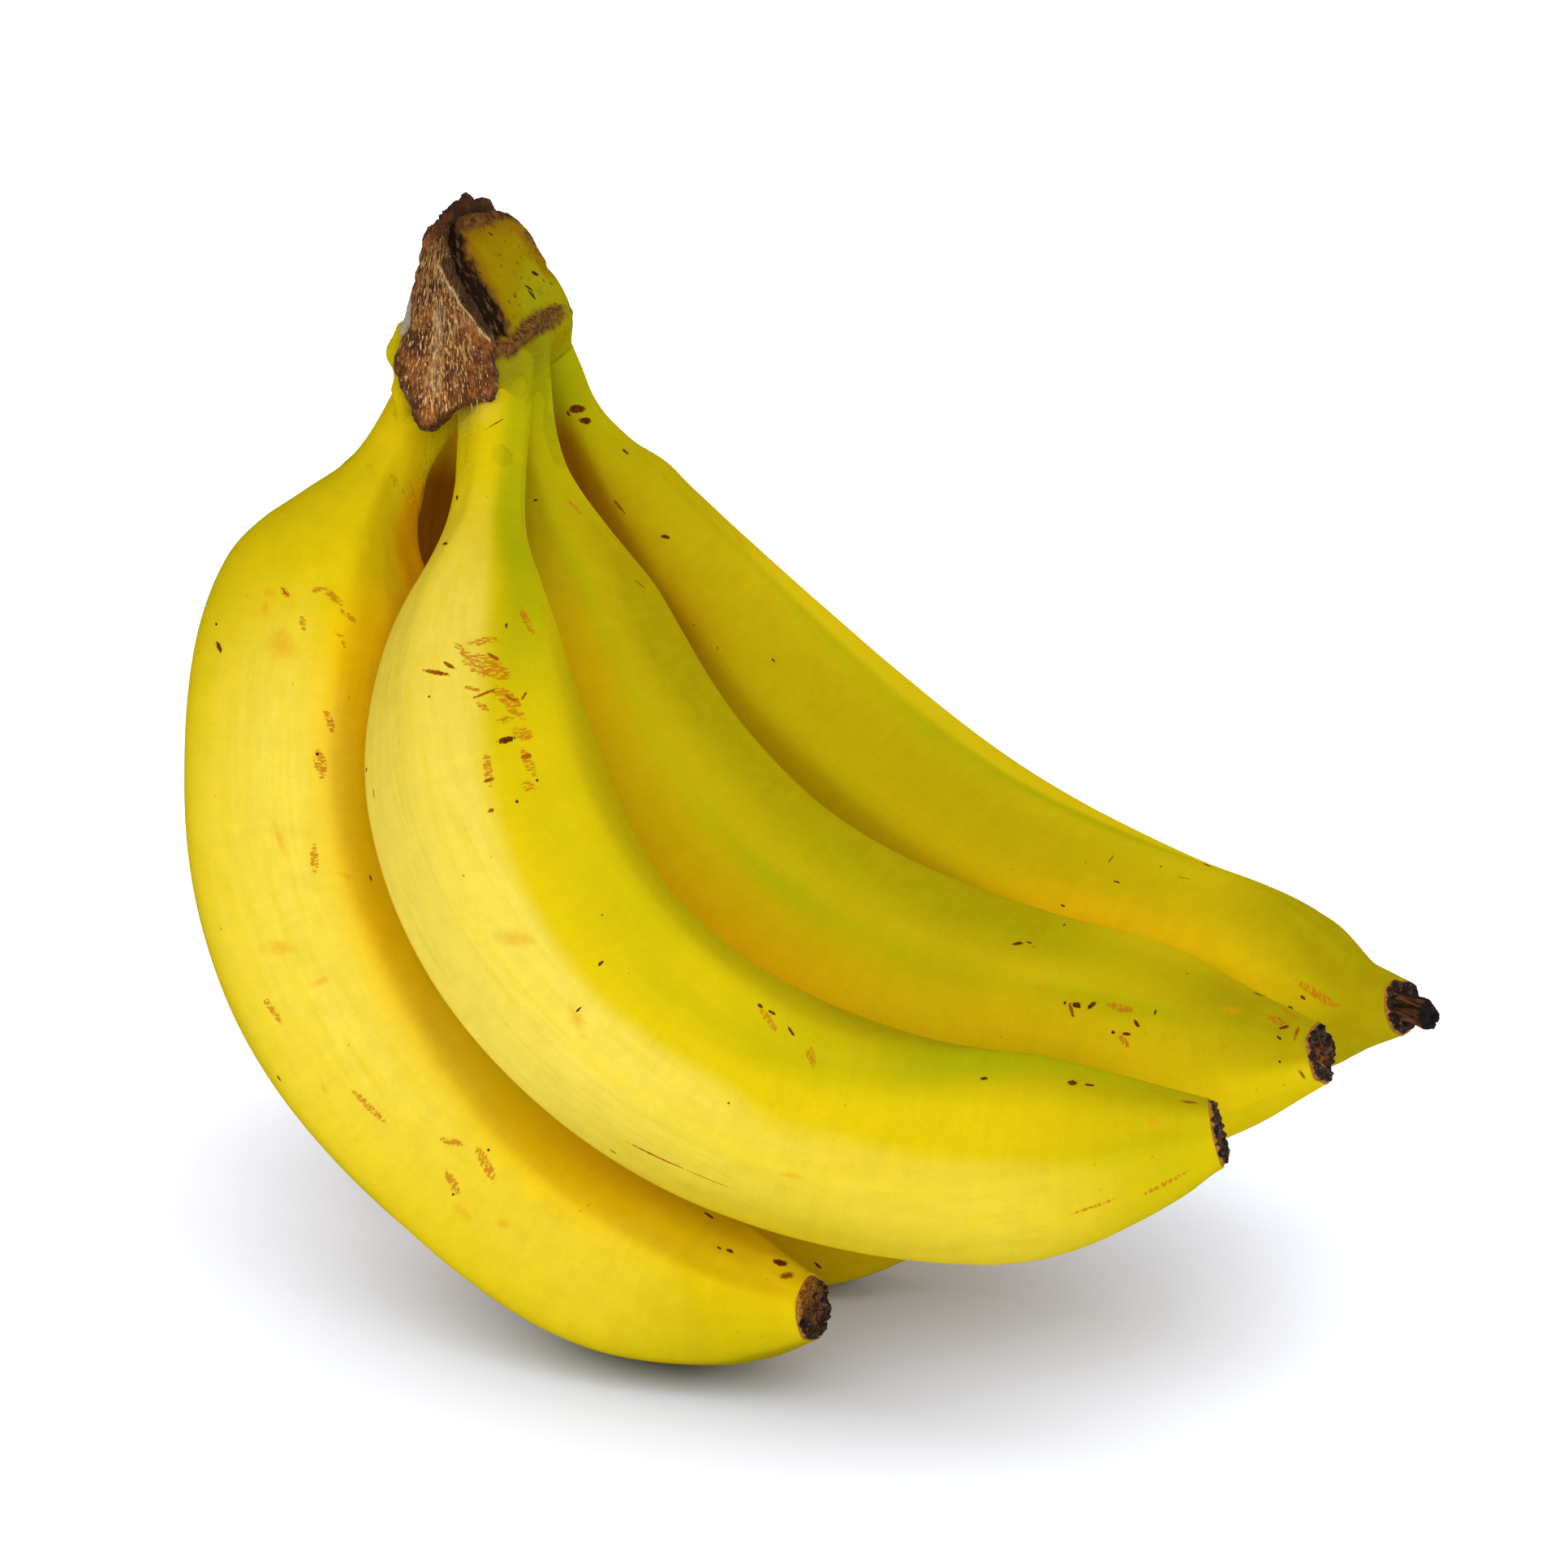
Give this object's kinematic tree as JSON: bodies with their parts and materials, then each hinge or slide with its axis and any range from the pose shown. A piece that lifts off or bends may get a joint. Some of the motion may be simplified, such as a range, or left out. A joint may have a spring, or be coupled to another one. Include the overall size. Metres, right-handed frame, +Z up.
{
  "type": "bunch of bananas",
  "caption": "Bunch of ripe bananas, as picked: curved, softly ridged fruits in a front and a back row, their necks grown together in a crown with a dried cut face.",
  "frame": {"origin": "middle of the bounding box's bottom, on the surface that the bunch rests on", "axes": "+Z up, +X towards the blossom ends as the picture shows them to the right, +Y away from the viewer"},
  "size_m": [0.1988, 0.1568, 0.1668],
  "materials": {
    "skin": "waxy yellow peel, satin",
    "crown_skin": "green-yellow skin turning to brown cork",
    "cut_face": "dried fibrous cut, matt",
    "scar": "dry crinkled blossom end, matt"
  },
  "bodies": {
    "root": {"crown": "crown_skin", "crown_cut_face": "cut_face", "banana_outer_front": "skin", "scar_outer_front": "scar", "banana_inner_front": "skin", "scar_inner_front": "scar", "banana_inner_middle": "skin", "scar_inner_middle": "scar", "banana_inner_back": "skin", "scar_inner_back": "scar", "banana_outer_middle": "skin", "scar_outer_middle": "scar", "banana_outer_back": "skin", "scar_outer_back": "scar"}
  },
  "joints": []
}
